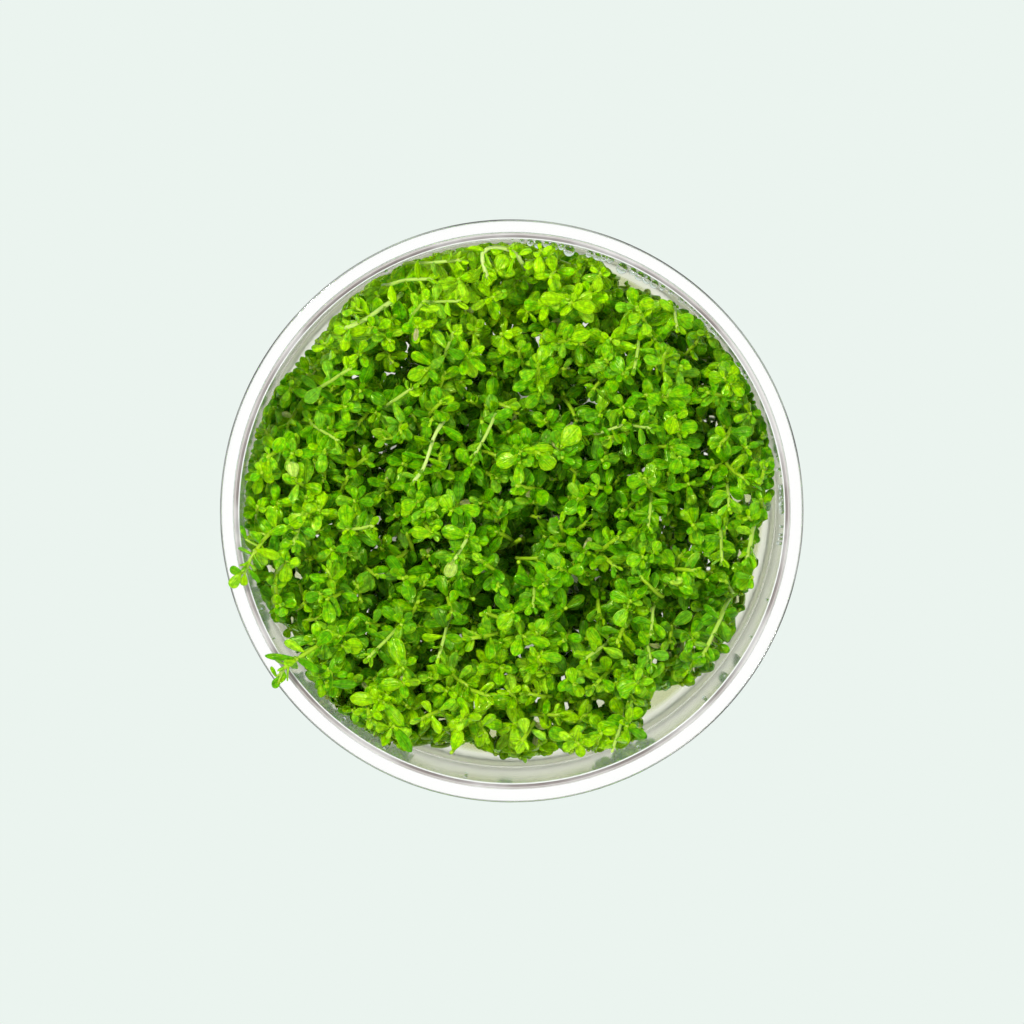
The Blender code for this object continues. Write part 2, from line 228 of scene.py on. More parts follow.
# Leaves that stand out: the place of the middle, across and down the picture, the length
# and width in pixels, the heading of the tip in degrees, and the youth from 0 to 1. A
# youth above 1 makes a leaf pale, and one below 0 makes it brown.
TOP_LEAVES = (
    (552, 299, 24, 14, 180, 1.0), (584, 306, 23, 14, -10, 1.0), (617, 364, 18, 16, 120, 0.55),
    (571, 435, 24, 20, 50, 0.85), (506, 460, 23, 16, 205, 0.8), (540, 451, 30, 13, 0, 0.85),
    (547, 463, 20, 18, -50, 0.8), (519, 475, 20, 11, 270, 0.7), (431, 505, 16, 14, 40, 0.65),
    (446, 502, 16, 14, 120, 0.7), (408, 505, 16, 13, 200, 0.7), (420, 533, 20, 13, 170, 0.75),
    (452, 533, 24, 15, 170, 0.7), (346, 515, 22, 17, 95, 0.6), (397, 651, 30, 17, 110, 0.7),
    (390, 685, 22, 14, 185, 0.8), (362, 699, 27, 14, 175, 0.9), (395, 717, 30, 13, -50, 0.75),
    (404, 741, 29, 12, -53, 0.35), (638, 734, 22, 10, -35, 0.35), (310, 505, 16, 16, 150, 0.85),
    (297, 520, 18, 16, 210, 0.8), (286, 574, 20, 14, 265, 0.85), (328, 637, 18, 14, 180, 0.75),
    (354, 646, 19, 17, 0, 0.85), (358, 331, 20, 14, 200, 1.0), (415, 374, 18, 14, 200, 0.8),
    (265, 470, 22, 14, 260, 0.85), (293, 469, 16, 13, 100, 1.6), (502, 262, 16, 16, 60, 0.9),
    (543, 353, 17, 13, 70, 0.75), (634, 318, 13, 13, 200, 0.8), (647, 303, 17, 13, 20, 0.9),
    (605, 351, 14, 10, 90, 0.7), (653, 399, 14, 14, 330, 0.6), (675, 404, 24, 16, -35, 0.55),
    (681, 390, 24, 14, 20, 0.6), (734, 371, 14, 11, 45, 0.8), (738, 390, 16, 10, -45, 0.75),
    (715, 378, 14, 14, 180, 0.7), (671, 426, 18, 16, 250, 0.85), (689, 427, 18, 14, 10, 0.6),
    (634, 482, 18, 14, 200, 0.6), (683, 451, 20, 14, 340, 0.6), (676, 467, 17, 14, 250, 0.6),
    (633, 560, 16, 14, 200, 0.65), (657, 546, 11, 11, 60, 0.7), (678, 581, 11, 8, 10, 1.3),
    (619, 597, 20, 12, 160, 0.6), (505, 622, 20, 16, 230, 0.75), (541, 625, 14, 14, 60, 0.7),
    (539, 642, 24, 12, -20, 0.65), (552, 658, 22, 11, -10, 0.6), (621, 617, 20, 14, 235, 0.6),
    (573, 675, 16, 14, 100, 0.7), (626, 686, 20, 14, 200, 0.6), (580, 752, 13, 11, 280, 0.95),
    (451, 569, 20, 13, 250, 1.7), (340, 330, 14, 10, 190, 0.9), (416, 335, 13, 5, 262, -0.7),
    (329, 613, 22, 14, 280, 0.6), (298, 641, 26, 11, 185, 0.35), (344, 685, 29, 10, -8, 0.3),
    (327, 682, 21, 12, 265, 0.35), (312, 597, 15, 12, 200, 0.3), (581, 335, 20, 14, 20, 0.8),
)

# Leaves of the two sprigs that hang over the rim, in the same terms, by the sprig.
OVERHANGING_LEAVES = {
    33: (
        (279, 657, 31, 7, 172, 0.45), (308, 665, 26, 8, -30, 0.40), (273, 671, 10, 4, 118, 0.55),
        (276, 683, 13, 9, 235, 0.40), (282, 679, 10, 6, 50, 0.80), (284, 676, 8, 5, 280, 0.60),
    ),
    38: (
        (235, 571, 13, 9, 160, 0.35), (235, 581, 16, 11, 235, 0.75), (244, 581, 11, 8, 262, 0.95),
        (255, 577, 16, 5, -50, 0.40), (243, 531, 14, 5, 108, 0.40), (269, 554, 24, 10, -18, 1.0),
        (258, 564, 12, 5, -50, 0.35), (261, 543, 14, 4, 270, 0.40),
    ),
}

# Drops of water on the wall: across, down and their width, in pixels.
DROPS = (
    (530, 244, 7), (538, 245, 9), (546, 246, 7), (553, 248, 9), (561, 249, 7), (569, 251, 12),
    (589, 255, 8), (597, 257, 8), (603, 260, 7), (609, 262, 6), (622, 268, 12), (632, 273, 8),
    (639, 277, 10), (646, 281, 9), (653, 286, 9), (660, 291, 6), (728, 371, 7), (733, 379, 5),
)
DROP_HEIGHT = 45 * MM

# More drops, too small to place one by one, lie in a ring of this radius in pixels.
SMALL_DROP_COUNT = 70
SMALL_DROP_RING = 271


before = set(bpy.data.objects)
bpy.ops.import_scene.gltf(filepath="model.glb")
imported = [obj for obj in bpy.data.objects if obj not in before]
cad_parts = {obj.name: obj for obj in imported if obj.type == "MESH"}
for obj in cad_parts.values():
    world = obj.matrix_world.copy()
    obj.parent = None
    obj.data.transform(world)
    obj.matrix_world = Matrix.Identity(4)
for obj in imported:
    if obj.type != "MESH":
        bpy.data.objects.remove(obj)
cad_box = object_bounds()


# Small helpers for vectors, places and meshes.

def unit(vector):
    return vector / norm(vector)


def square_to(vector, axis):
    """The part of a vector that stands square to a unit axis, at length one."""
    return unit(vector - axis * np.dot(vector, axis))


def compass(angle):
    """The flat direction at an angle, counted from the right as seen from above."""
    return np.array((math.cos(angle), math.sin(angle), 0))


def flat_stray(draw, reach):
    return np.array((draw.uniform(-reach, reach), draw.uniform(-reach, reach), 0))


def seen(points):
    """Where points are seen from above, on a plane at the rim's height."""
    drop = CUP_HEIGHT - points[..., 2]
    scale = 1 - drop / CAMERA_DISTANCE
    up = points[..., 1] * scale + drop * math.tan(CAMERA_TILT)
    return np.stack((points[..., 0] * scale, up), -1)


def place_under(spot, height):
    """The place at a height that is seen at a spot on the plane of the rim."""
    drop = CUP_HEIGHT - height
    scale = 1 - drop / CAMERA_DISTANCE
    return np.array((spot[0] / scale, (spot[1] - drop * math.tan(CAMERA_TILT)) / scale, height))


def picture_place(across, down, height):
    """The place at a height that is seen at a point of the picture, in pixels."""
    spot = ((across - PICTURE_MIDDLE[0]) * PIXEL, (PICTURE_MIDDLE[1] - down) * PIXEL)
    return place_under(spot, height)


def circle(one, other, count):
    """Points around a circle or an ellipse, from its two half axes."""
    angles = [2 * math.pi * step / count for step in range(count)]
    return [one * math.cos(angle) + other * math.sin(angle) for angle in angles]


def skin(sizes, first=0):
    """The faces between rings of points, from the size of each ring. The points are
    numbered ring by ring, and a ring of one point is a tip."""
    faces = []
    for size, next_size in zip(sizes, sizes[1:]):
        second = first + size
        for step in range(max(size, next_size)):
            after = step + 1
            near = (first + step % size, second + step % next_size)
            far = (second + after % next_size, first + after % size)
            faces.append(tuple(dict.fromkeys(near + far)))
        first = second
    return faces


def mesh_object(name, verts, faces, materials):
    mesh = bpy.data.meshes.new(name)
    mesh.from_pydata(verts, [], faces)
    mesh.shade_smooth()
    for material in materials:
        mesh.materials.append(material)
    made = bpy.data.objects.new(name, mesh)
    bpy.context.scene.collection.objects.link(made)
    return made


def finish_piece(piece):
    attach(piece, "root")


# Node helpers for the materials.

class Paint:
    """A material with one Principled shader, and short calls for its nodes."""

    def __init__(self, name):
        self.material = bpy.data.materials.new(name)
        self.material.use_nodes = True
        self.tree = self.material.node_tree
        self.shader = self.tree.nodes["Principled BSDF"]

    def set(self, **values):
        for name, value in values.items():
            self.shader.inputs[name.replace("_", " ")].default_value = value

    def feed(self, socket, source):
        self.tree.links.new(source, self.shader.inputs[socket])

    def node(self, kind, inputs, **settings):
        made = self.tree.nodes.new(kind)
        for name, value in settings.items():
            setattr(made, name, value)
        for key, value in inputs.items():
            if isinstance(value, bpy.types.NodeSocket):
                self.tree.links.new(value, made.inputs[key])
            else:
                made.inputs[key].default_value = value
        return made

    def place(self):
        """Places in metres on the object, which stay put as it moves."""
        return self.node("ShaderNodeTexCoord", {}).outputs["Object"]

    def axis_distance(self):
        """The distance from the cup's axis in metres."""
        flat = self.node("ShaderNodeVectorMath", {0: self.place(), 1: (1, 1, 0)}, operation="MULTIPLY")
        length = self.node("ShaderNodeVectorMath", {0: flat.outputs[0]}, operation="LENGTH")
        return length.outputs["Value"]

    def split(self, vector):
        return self.node("ShaderNodeSeparateXYZ", {0: vector}).outputs

    def attribute(self, name):
        """The three numbers of a point attribute."""
        source = self.node("ShaderNodeAttribute", {}, attribute_name=name)
        return self.split(source.outputs["Vector"])

    def math(self, operation, one, other=0.5, clamp=False):
        made = self.node("ShaderNodeMath", {0: one, 1: other}, operation=operation)
        made.use_clamp = clamp
        return made.outputs[0]

    def times(self, one, other):
        return self.math("MULTIPLY", one, other)

    def spread(self, value, low, high, to_low=0.0, to_high=1.0):
        """Goes softly from one number to another while a value goes from low to high."""
        inputs = {0: value, 1: low, 2: high, 3: to_low, 4: to_high}
        made = self.node("ShaderNodeMapRange", inputs, interpolation_type="SMOOTHSTEP")
        return made.outputs[0]

    def fade(self, mask, start, end):
        return self.spread(mask, 0.0, 1.0, start, end)

    def noise(self, size, detail=2.0, vector=None):
        """Soft noise about 0.5, whose grains are about a size in metres."""
        inputs = {"Vector": vector or self.place(), "Scale": 1 / size, "Detail": detail}
        return self.node("ShaderNodeTexNoise", inputs).outputs[0]

    def mix(self, share, one, other):
        inputs = {0: share, 6: one, 7: other}
        return self.node("ShaderNodeMix", inputs, data_type="RGBA").outputs[2]

    def ramp(self, value, stops):
        made = self.node("ShaderNodeValToRGB", {0: value})
        elements = made.color_ramp.elements
        while len(elements) < len(stops):
            elements.new(0.5)
        for element, (place, colour) in zip(elements, stops):
            element.position = place
            element.color = (*colour, 1)
        return made.outputs[0]

    def bump(self, height, distance, strength=1.0):
        inputs = {"Height": height, "Distance": distance, "Strength": strength}
        self.feed("Normal", self.node("ShaderNodeBump", inputs).outputs[0])


DEEP_GREEN = (0.034, 0.190, 0.0)
LEAF_GREEN = (0.105, 0.410, 0.0)
YOUNG_GREEN = (0.350, 0.650, 0.0)
PALE_GREEN = (0.560, 0.720, 0.160)
WITHERED = (0.50, 0.38, 0.24)


def leaf_paint():
    """Glossy leaves. Each has its own green, a paler midrib, a lighter margin that is partly the leaf's own
    and partly a painted edge highlight, and fine veins that run lengthwise.
    Each leaf's light, which holds painted light and shade, scales its colour. Paleness above 1 stands for
    withering."""
    paint = Paint("rotala leaf")
    along, across, side = paint.attribute("leaf_place")
    youth, light, pale = paint.attribute("leaf_tint")
    off_middle = paint.math("ABSOLUTE", across)
    blotches = paint.spread(paint.noise(0.8 * MM, 3.0), 0.3, 0.7, -0.24, 0.24)
    base = paint.ramp(
        paint.math("ADD", youth, blotches),
        [(0.0, DEEP_GREEN), (0.45, LEAF_GREEN), (1.0, YOUNG_GREEN)],
    )
    base = paint.mix(paint.math("MINIMUM", pale, 1.0), base, (*PALE_GREEN, 1))
    base = paint.mix(paint.math("SUBTRACT", pale, 1.0, True), base, (*WITHERED, 1))
    midrib = paint.spread(off_middle, 0.03, 0.12, 0.25, 0.0)
    # Painted edge highlight, partly the leaf's own paler margin: the margin is made lighter.
    margin = paint.spread(off_middle, 0.82, 1.0, 0.0, 0.25)
    foot = paint.spread(along, 0.0, 0.25, 0.45, 0.0)
    lines = paint.math("SINE", paint.times(off_middle, 10.0))
    veins = paint.times(paint.spread(lines, 0.2, 1.0), 0.28)
    lighter = paint.math("MAXIMUM", paint.math("MAXIMUM", midrib, margin), foot)
    base = paint.mix(lighter, base, (0.36, 0.60, 0.0, 1))
    base = paint.mix(veins, base, (0.035, 0.180, 0.0, 1))
    underside = paint.times(paint.math("SUBTRACT", 1.0, side), 0.22)
    base = paint.mix(underside, base, (0.26, 0.48, 0.02, 1))
    mottling = paint.noise(0.5 * MM)
    # The leaf's light holds painted light and shade, with a random mottled tone added; it scales the base
    # colour.
    light = paint.times(light, paint.spread(mottling, 0.3, 0.7, 0.80, 1.14))
    shaded = paint.node("ShaderNodeVectorMath", {0: base, 3: light}, operation="SCALE")
    paint.feed("Base Color", shaded.outputs[0])
    paint.feed("Roughness", paint.spread(mottling, 0.3, 0.7, 0.06, 0.18))
    height = paint.math("ADD", paint.noise(0.45 * MM, 3.0), paint.times(veins, 1.5))
    paint.bump(height, 0.10 * MM, 0.9)
    paint.set(IOR=1.38, Specular_Tint=(0.85, 1.0, 0.30, 1))
    paint.set(Subsurface_Weight=0.35, Subsurface_Scale=0.5 * MM)
    paint.set(Subsurface_Radius=(0.55, 1.0, 0.05))
    return paint.material


def stem_paint():
    """Juicy stems with long streaks, lighter and yellower where they are young."""
    paint = Paint("rotala stem")
    pale, youth, _ = paint.attribute("stem_tint")
    streaks = paint.node("ShaderNodeMapping", {0: paint.place(), 3: (1, 1, 0.15)})
    noise = paint.noise(0.25 * MM, 2.0, streaks.outputs[0])
    green = paint.mix(youth, (0.22, 0.42, 0.005, 1), (0.36, 0.60, 0.005, 1))
    base = paint.mix(paint.spread(noise, 0.35, 0.65, 0.0, 0.30), green, (0.46, 0.62, 0.06, 1))
    base = paint.mix(pale, base, (0.56, 0.72, 0.19, 1))
    paint.feed("Base Color", base)
    paint.feed("Roughness", paint.spread(noise, 0.3, 0.7, 0.28, 0.45))
    paint.bump(noise, 0.04 * MM, 0.5)
    paint.set(IOR=1.42, Subsurface_Weight=0.3, Subsurface_Scale=0.6 * MM)
    paint.set(Subsurface_Radius=(0.7, 1.0, 0.2))
    return paint.material


def root_paint():
    paint = Paint("pale roots")
    base = paint.mix(paint.noise(1.5 * MM), (0.60, 0.58, 0.36, 1), (0.80, 0.80, 0.64, 1))
    paint.feed("Base Color", base)
    paint.set(Roughness=0.5)
    return paint.material


# Seen from above, the rim over the wall is made cloudy, with a painted highlight and painted dark lines
# where the wall shows edge-on through it. These are distances
# from the axis: where the painted ring fades in and out, and where its lines start. The
# last two are how far the lines reach and where the rim's painted dark edge starts.
PAINTED_RING_START = (46.44 * MM, 46.52 * MM)
PAINTED_RING_END = (47.62 * MM, 47.72 * MM)
PAINTED_LINES_START = 46.4 * MM
PAINTED_LINES_WIDTH = 1.4 * MM
PAINTED_EDGE_SPAN = (RIM_RADIUS - 0.25 * MM, RIM_RADIUS - 0.17 * MM)


def cup_paint():
    """Clear moulded plastic, lightly misted below the rim. The ring over the wall is made cloudy and
    carries a painted highlight and painted dark lines, and the rim's rounded outer edge has a painted dark
    line, patchy and least at the front."""
    paint = Paint("clear plastic")
    radius = paint.axis_distance()
    _, back, height = paint.split(paint.place())
    in_rim = paint.spread(height, CUP_HEIGHT - 1.0 * MM, CUP_HEIGHT - 0.7 * MM)
    haze = paint.spread(paint.noise(9 * MM, 4.0), 0.4, 0.7, 0.015, 0.05)
    paint.feed("Roughness", paint.math("MAXIMUM", haze, paint.fade(in_rim, 0.10, 0.0)))
    painted_ring = paint.times(paint.spread(radius, *PAINTED_RING_START), paint.spread(radius, *PAINTED_RING_END, 1.0, 0.0))
    painted_ring = paint.times(painted_ring, in_rim)
    # Painted dark line where the rim's rounded outer edge bends the light: patchy, and least at the front.
    edge_darkness = paint.spread(paint.noise(16 * MM, 2.0), 0.35, 0.60, 0.55, 0.97)
    edge_darkness = paint.times(edge_darkness, paint.spread(back, -48 * MM, -36 * MM, 0.35, 1.0))
    edge = paint.times(paint.spread(radius, *PAINTED_EDGE_SPAN), edge_darkness)
    base = paint.mix(edge, (0.985, 0.985, 0.985, 1), (0.07, 0.06, 0.066, 1))
    # Painted highlight and painted dark lines, where the wall is seen edge-on through the rim.
    lines = paint.ramp(
        paint.math("DIVIDE", paint.math("SUBTRACT", radius, PAINTED_LINES_START), PAINTED_LINES_WIDTH),
        [
            (0.00, (0.84, 0.83, 0.74)), (0.05, (1.0, 1.0, 0.98)), (0.29, (1.0, 1.0, 0.98)),
            (0.36, (0.16, 0.13, 0.12)), (0.62, (0.25, 0.21, 0.20)), (0.72, (0.58, 0.54, 0.52)),
            (0.82, (0.34, 0.28, 0.27)), (0.92, (0.84, 0.82, 0.81)),
        ],
    )
    patches = paint.spread(paint.noise(12 * MM, 3.0), 0.35, 0.65, 0.0, 0.45)
    lines = paint.mix(patches, lines, (0.92, 0.90, 0.90, 1))
    paint.feed("Base Color", paint.mix(painted_ring, base, lines))
    paint.feed("Transmission Weight", paint.times(paint.fade(painted_ring, 1.0, 0.25), paint.fade(edge, 1.0, 0.1)))
    paint.feed("Specular IOR Level", paint.fade(edge, 0.5, 0.1))
    paint.bump(paint.noise(6 * MM, 2.0), 0.03 * MM, 0.15)
    paint.set(IOR=1.49)
    return paint.material


def gel_paint():
    """Pale set gel: cloudy, uneven and greener outwards. Right at the wall it is rougher and bright, with
    painted light for the light that comes in through the clear wall.
    """
    paint = Paint("nutrient gel")
    radius = paint.axis_distance()
    clouds = paint.spread(paint.noise(5 * MM, 5.0), 0.30, 0.70, 0.75, 1.0)
    greener = paint.times(paint.spread(radius, 35 * MM, 40 * MM, 0.0, 0.9), clouds)
    base = paint.mix(greener, (0.95, 0.97, 0.89, 1), (0.50, 0.56, 0.22, 1))
    # Painted light: the gel is painted paler right at the wall, where light comes in through it.
    painted_wall_light = paint.spread(radius, 43.5 * MM, 44.3 * MM)
    base = paint.mix(painted_wall_light, base, (0.97, 1.0, 0.86, 1))
    paint.feed("Base Color", base)
    grain = paint.spread(paint.noise(2 * MM, 3.0), 0.3, 0.7, 0.10, 0.24)
    paint.feed("Roughness", paint.math("MAXIMUM", grain, paint.fade(painted_wall_light, 0.0, 0.4)))
    paint.bump(paint.noise(3 * MM, 3.0), 0.15 * MM, 0.5)
    paint.set(IOR=1.34, Transmission_Weight=0.95)
    return paint.material


def drop_paint():
    paint = Paint("water drops")
    paint.feed("Roughness", paint.spread(paint.noise(0.6 * MM), 0.4, 0.7, 0.0, 0.04))
    paint.set(Base_Color=(0.98, 0.99, 0.98, 1), IOR=1.33, Transmission_Weight=1.0)
    return paint.material


# The cup and the gel are turned from profiles with rounded corners.

def rounded(corners, steps=8):
    """A profile of (radius, height) points, from corners given as (radius, height,
    rounding). Short stretches beside each rounding keep the flats flat."""
    places = [np.array(corner[:2]) for corner in corners]
    profile = []
    for index, (place, corner) in enumerate(zip(places, corners)):
        rounding = corner[2]
        if not rounding:
            profile.append(place)
            continue
        back = unit(places[index - 1] - place)
        ahead = unit(places[index + 1] - place)
        half = math.acos(np.clip(np.dot(back, ahead), -1, 1)) / 2
        reach = rounding / math.tan(half)
        middle = place + unit(back + ahead) * rounding / math.sin(half)
        start = place + back * reach - middle
        end = place + ahead * reach - middle
        sweep = math.pi - 2 * half
        profile.append(place + back * (reach + FLAT_SHARE * rounding))
        for step in range(steps + 1):
            share = step / steps
            one = math.sin((1 - share) * sweep) / math.sin(sweep)
            other = math.sin(share * sweep) / math.sin(sweep)
            profile.append(middle + start * one + end * other)
        profile.append(place + ahead * (reach + FLAT_SHARE * rounding))
    return profile


def turned(name, profile, material, lift=None):
    """A solid of revolution from a profile that starts and ends on the axis. Lift
    gives a point's rise by its place."""
    verts = []
    for radius, height in profile:
        if not radius:
            verts.append((0, 0, height))
            continue
        for x, y in circle(np.array((radius, 0)), np.array((0, radius)), TURNING_STEPS):
            verts.append((x, y, height + (lift(x, y, height) if lift else 0)))
    sizes = [TURNING_STEPS if radius else 1 for radius, height in profile]
    return mesh_object(name, verts, skin(sizes), [material])


def wall_radius(height):
    """Inner radius of the cup's drafted wall at a height."""
    foot = FLOOR_THICKNESS + INNER_FOOT_ROUND
    share = (height - foot) / (CUP_HEIGHT - foot)
    return WALL_FOOT_RADIUS + share * (WALL_TOP_RADIUS - WALL_FOOT_RADIUS)


def make_cup():
    outer_top = WALL_TOP_RADIUS + WALL_THICKNESS
    outer_foot = WALL_FOOT_RADIUS + WALL_THICKNESS
    rim_under = CUP_HEIGHT - RIM_THICKNESS
    corners = [
        (0, FLOOR_THICKNESS, 0),
        (WALL_FOOT_RADIUS, FLOOR_THICKNESS, FOOT_CURVE),
        (WALL_TOP_RADIUS, CUP_HEIGHT, MOUTH_ROUND),
        (RIM_RADIUS, CUP_HEIGHT, RIM_EDGE_ROUND),
        (RIM_RADIUS, rim_under, RIM_EDGE_ROUND),
        (outer_top, rim_under, UNDER_RIM_ROUND),
        (outer_foot, 0, OUTER_FOOT_ROUND),
        (0, 0, 0),
    ]
    cup = turned("clear_cup", rounded(corners), cup_paint())
    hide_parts("culture_cup")
    finish_piece(cup)


def gel_lift(x, y, height):
    """The set gel's top is not quite flat."""
    if height < GEL_LEVEL - GEL_GAP:
        return 0
    wave = math.sin(0.31 * x / MM + 1.0) * math.sin(0.27 * y / MM + 0.4)
    ripple = math.sin(0.9 * x / MM + 0.7 * y / MM)
    return (0.10 * wave + 0.04 * ripple) * MM


def make_gel():
    foot = FLOOR_THICKNESS + GEL_GAP
    top = wall_radius(GEL_LEVEL) - GEL_GAP
    profile = [(0, GEL_LEVEL)]
    ring = GEL_RING
    while ring < top - MENISCUS_WIDTH:
        profile.append((ring, GEL_LEVEL))
        ring += GEL_RING
    for step in range(MENISCUS_STEPS + 1):
        share = step / MENISCUS_STEPS
        rise = MENISCUS_RISE * share ** 3
        profile.append((top - MENISCUS_WIDTH * (1 - share), GEL_LEVEL + rise))
    corners = [(top, GEL_LEVEL, 0), (WALL_FOOT_RADIUS - GEL_GAP, foot, FOOT_CURVE), (0, foot, 0)]
    gel = turned("set_gel", profile + rounded(corners), gel_paint(), gel_lift)
    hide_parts("nutrient_gel")
    finish_piece(gel)


def add_ball(verts, faces, middle, axes, rings=6, sides=12):
    """Adds a closed ball, stretched along three axes, to a mesh."""
    faces.extend(skin([1] + [sides] * (rings - 1) + [1], len(verts)))
    verts.append(middle + axes[2])
    for ring in range(1, rings):
        polar = math.pi * ring / rings
        for flat in circle(axes[0], axes[1], sides):
            verts.append(middle + flat * math.sin(polar) + axes[2] * math.cos(polar))
    verts.append(middle - axes[2])


def make_drops():
    """Drops of water that cling to the inner wall. The small ones are thickest at the
    upper right and on the right, as seen from above."""
    draw = random.Random(SEED + 5)
    verts = []
    faces = []
    places = list(DROPS)
    for _ in range(SMALL_DROP_COUNT):
        turns = (draw.uniform(40, 90), draw.uniform(-8, 12), draw.uniform(-180, 180))
        right, up, _ = SMALL_DROP_RING * compass(math.radians(draw.choice(turns)))
        width = draw.uniform(2.0, 4.5)
        places.append((PICTURE_MIDDLE[0] + right, PICTURE_MIDDLE[1] - up, width))
    for across, down, width in places:
        height = DROP_HEIGHT + draw.uniform(-4, 3) * MM
        radius = width * PIXEL / 2
        place = picture_place(across, down, height)
        out = unit(place * (1, 1, 0))
        middle = out * (wall_radius(height) - 0.90 * radius) + UP * height
        add_ball(verts, faces, middle, (np.cross(UP, out) * radius, UP * radius, out * radius))
    drops = mesh_object("water_drops", verts, faces, [drop_paint()])
    finish_piece(drops)


# The shoots.

class Shoot:
    """One stem of a sprig: its centre line, and a side direction that runs along it
    without twisting, from which the turn of its leaves is counted."""

    def __init__(self, sprig, line, turn, girth=1.0, pale=0.0, pairs=LEAF_PAIRS):
        self.sprig = sprig
        self.turn = turn
        self.girth = girth
        self.pale = pale
        self.pairs = pairs
        lengths = norm(np.diff(line, axis=0), axis=1)
        along = np.concatenate(([0], np.cumsum(lengths)))
        self.length = along[-1]
        self.nodes = [self.length - pair[0] * MM for pair in pairs]
        count = max(4, round(self.length / STEM_STEP) + 1)
        self.along = np.linspace(0, self.length, count)
        self.points = np.stack([np.interp(self.along, along, line[:, axis]) for axis in range(3)], 1)
        steps = np.gradient(self.points, axis=0)
        self.directions = steps / norm(steps, axis=1)[:, None]
        side = np.array((1.0, 0.02, 0.0))
        self.sides = []
        for direction in self.directions:
            side = square_to(side, direction)
            self.sides.append(side)
        self.sides = np.array(self.sides)

    def at(self, values, distance):
        return np.array([np.interp(distance, self.along, values[:, axis]) for axis in range(3)])

    def point(self, distance):
        return self.at(self.points, distance)

    def radius(self, distance):
        share = distance / self.length
        return self.girth * (STEM_FOOT_RADIUS + share * (STEM_TIP_RADIUS - STEM_FOOT_RADIUS))


def bezier(handles):
    return np.array(interpolate_bezier(*(Vector(point) for point in handles), 60))


def smooth_line(knots, steps=10):
    """A smooth line through some points."""
    knots = [2 * knots[0] - knots[1]] + list(knots) + [2 * knots[-1] - knots[-2]]
    line = []
    for one, two, three, four in zip(knots, knots[1:], knots[2:], knots[3:]):
        for share in np.linspace(0, 1, steps, endpoint=False):
            bend = (3 * two - one - 3 * three + four) * share + 2 * one - 5 * two + 4 * three - four
            line.append(two + 0.5 * share * (three - one + share * bend))
    line.append(knots[-2])
    return np.array(line)


def foot_place(index):
    radius = BED_RADIUS * math.sqrt((index + 0.5) / SPRIG_COUNT)
    return radius * compass(index * GOLDEN_ANGLE) + UP * (GEL_LEVEL - PLANTING_DEPTH)


def main_curve(index):
    """The curve of a sprig's main stem, as in the part's source."""
    foot = foot_place(index)
    if index in OVERHANGING_SPRIGS:
        return [foot] + [np.array(point) * MM for point in OVERHANGING_SPRIGS[index]]
    draw = random.Random(1000 * SEED + index)
    height = draw.uniform(LOWEST_TIP, HIGHEST_TIP)
    tip = foot * (1, 1, 0) * OUTWARD_LEAN + BED_SHIFT + flat_stray(draw, STRAY)
    middle_stray = flat_stray(draw, STRAY)
    tip = tip * min(1, TIP_REACH / norm(tip)) + UP * height
    low_handle = foot + (tip - foot) * LOW_HANDLE_SHARE + middle_stray
    high_handle = foot + (tip - foot) * HIGH_HANDLE_SHARE + middle_stray / 2
    return [foot, low_handle, high_handle, tip]


def foliage_reach(place):
    """The farthest that foliage goes from the axis in the direction of a place. It is
    ragged, by up to 2 mm, where it stays clear of the wall."""
    turn = np.arctan2(place[..., 1], place[..., 0])
    reach = np.interp(np.degrees(turn), *zip(*REACH)) * MM
    ragged = 0.5 + 0.5 * np.sin(26 * turn) * np.sin(41 * turn + 1.3)
    return reach - np.clip((45.8 * MM - reach) / 1.5, 0, 1 * MM) * 2.0 * ragged


def inside_wall(point, clearance):
    """Moves a point in towards the axis until it is clear of the wall."""
    limit = wall_radius(min(point[2], CUP_HEIGHT)) - clearance
    reach = norm(point[:2])
    if reach > limit:
        point = point * (limit / reach, limit / reach, 1)
    return point


